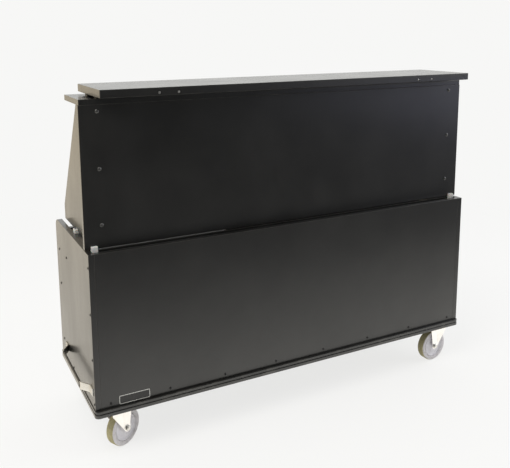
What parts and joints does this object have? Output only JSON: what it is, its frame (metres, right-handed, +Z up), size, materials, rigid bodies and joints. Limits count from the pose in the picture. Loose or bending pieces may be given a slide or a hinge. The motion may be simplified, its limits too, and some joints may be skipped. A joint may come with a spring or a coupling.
{
  "type": "mobile bar unit",
  "caption": "Portable bar of black laminated board on swivel casters, with a lift-off upper section, ice bin, bottle well and storage shelves.",
  "frame": {"origin": "on the floor, under the middle of the outline", "axes": "+X along the front to the right as a customer sees it, -Y to the customers' side, +Z up"},
  "size_m": [1.585, 0.547, 1.21],
  "materials": {
    "laminate": "satin black laminate on board",
    "edge_moulding": "satin black vinyl",
    "nylon": "white nylon",
    "steel": "bright steel",
    "black_steel": "black oxide",
    "stainless": "brushed stainless",
    "zinc": "zinc plated, bright",
    "brass": "cast and turned brass",
    "lever": "red dipped steel",
    "plate": "black with a light border",
    "hub": "pale grey moulding",
    "tread": "grey rubber"
  },
  "bodies": {
    "base": {"platform": "laminate", "floor_board": "laminate", "front_panel": "laminate", "inner_front_panel": "laminate", "left_end_panel": "laminate", "right_end_panel": "laminate", "work_deck": "laminate", "well_riser": "laminate", "bottle_well_shelf": "laminate", "bottle_rail": "laminate", "centre_divider": "laminate", "left_storage_shelf": "laminate", "right_storage_shelf": "laminate", "rear_posts": "laminate", "platform_edge_moulding": "edge_moulding", "front_seats": "nylon", "side_seats": "nylon", "stake_guides": "nylon", "left_handle": "steel", "right_handle": "steel", "handle_grips": "edge_moulding", "panel_screws": "black_steel", "handle_screws": "steel", "blank_plate": "plate", "ice_bin": "stainless", "cover_rails": "stainless", "drain_valve": "brass", "caster_plates": "zinc", "caster_bolts": "steel"},
    "upper_section": {"upper_front_panel": "laminate", "upper_left_end": "laminate", "upper_right_end": "laminate", "corner_angles": "steel", "upper_bolts": "steel", "stakes": "steel", "upper_screws": "steel", "back_shelf": "laminate", "bar_battens": "laminate", "bar_top": "laminate", "bar_edge_screws": "steel"},
    "bin_cover": {"bin_cover": "stainless"},
    "drain_lever": {"drain_lever": "lever"},
    "front_left_swivel": {"front_left_fork": "zinc", "front_left_axle": "steel"},
    "front_left_wheel": {"front_left_hub": "hub", "front_left_tyre": "tread"},
    "front_right_swivel": {"front_right_fork": "zinc", "front_right_axle": "steel"},
    "front_right_wheel": {"front_right_hub": "hub", "front_right_tyre": "tread"},
    "rear_left_swivel": {"rear_left_fork": "zinc", "rear_left_axle": "steel"},
    "rear_left_wheel": {"rear_left_hub": "hub", "rear_left_tyre": "tread"},
    "rear_right_swivel": {"rear_right_fork": "zinc", "rear_right_axle": "steel"},
    "rear_right_wheel": {"rear_right_hub": "hub", "rear_right_tyre": "tread"},
    "rear_left_brake": {"rear_left_pedal": "zinc"},
    "rear_right_brake": {"rear_right_pedal": "zinc"}
  },
  "joints": [
    {"name": "upper_lift", "type": "slide", "parent": "base", "child": "upper_section", "axis": [0, 0, 1], "range_m": [0, 0.14]},
    {"name": "bin_cover_slide", "type": "slide", "parent": "base", "child": "bin_cover", "axis": [-1, 0, 0], "range_m": [0, 0.428]},
    {"name": "drain_lever_turn", "type": "hinge", "parent": "base", "child": "drain_lever", "pos_m": [0.535, 0.039, 0.474], "axis": [0, -1, 0], "range_deg": [0, 90]},
    {"name": "front_left_swivel_turn", "type": "hinge", "parent": "base", "child": "front_left_swivel", "pos_m": [-0.688, -0.1705, 0.147], "axis": [0, 0, 1], "continuous": true},
    {"name": "front_left_wheel_roll", "type": "hinge", "parent": "front_left_swivel", "child": "front_left_wheel", "pos_m": [-0.65621, -0.1536, 0.0635], "axis": [-0.4695, 0.8829, 0], "continuous": true},
    {"name": "front_right_swivel_turn", "type": "hinge", "parent": "base", "child": "front_right_swivel", "pos_m": [0.713, -0.1705, 0.147], "axis": [0, 0, 1], "continuous": true},
    {"name": "front_right_wheel_roll", "type": "hinge", "parent": "front_right_swivel", "child": "front_right_wheel", "pos_m": [0.67709, -0.17301, 0.0635], "axis": [0.0698, -0.9976, 0], "continuous": true},
    {"name": "rear_left_swivel_turn", "type": "hinge", "parent": "base", "child": "rear_left_swivel", "pos_m": [-0.688, 0.2095, 0.147], "axis": [0, 0, 1], "continuous": true},
    {"name": "rear_left_wheel_roll", "type": "hinge", "parent": "rear_left_swivel", "child": "rear_left_wheel", "pos_m": [-0.65323, 0.20018, 0.0635], "axis": [0.2588, 0.9659, 0], "continuous": true},
    {"name": "rear_left_brake_press", "type": "hinge", "parent": "rear_left_swivel", "child": "rear_left_brake", "pos_m": [-0.62045, 0.1914, 0.127], "axis": [0.2588, 0.9659, 0], "range_deg": [0, 25]},
    {"name": "rear_right_swivel_turn", "type": "hinge", "parent": "base", "child": "rear_right_swivel", "pos_m": [0.713, 0.2095, 0.147], "axis": [0, 0, 1], "continuous": true},
    {"name": "rear_right_wheel_roll", "type": "hinge", "parent": "rear_right_swivel", "child": "rear_right_wheel", "pos_m": [0.67792, 0.2014, 0.0635], "axis": [0.225, -0.9744, 0], "continuous": true},
    {"name": "rear_right_brake_press", "type": "hinge", "parent": "rear_right_swivel", "child": "rear_right_brake", "pos_m": [0.64485, 0.19377, 0.127], "axis": [0.225, -0.9744, 0], "range_deg": [0, 25]}
  ]
}
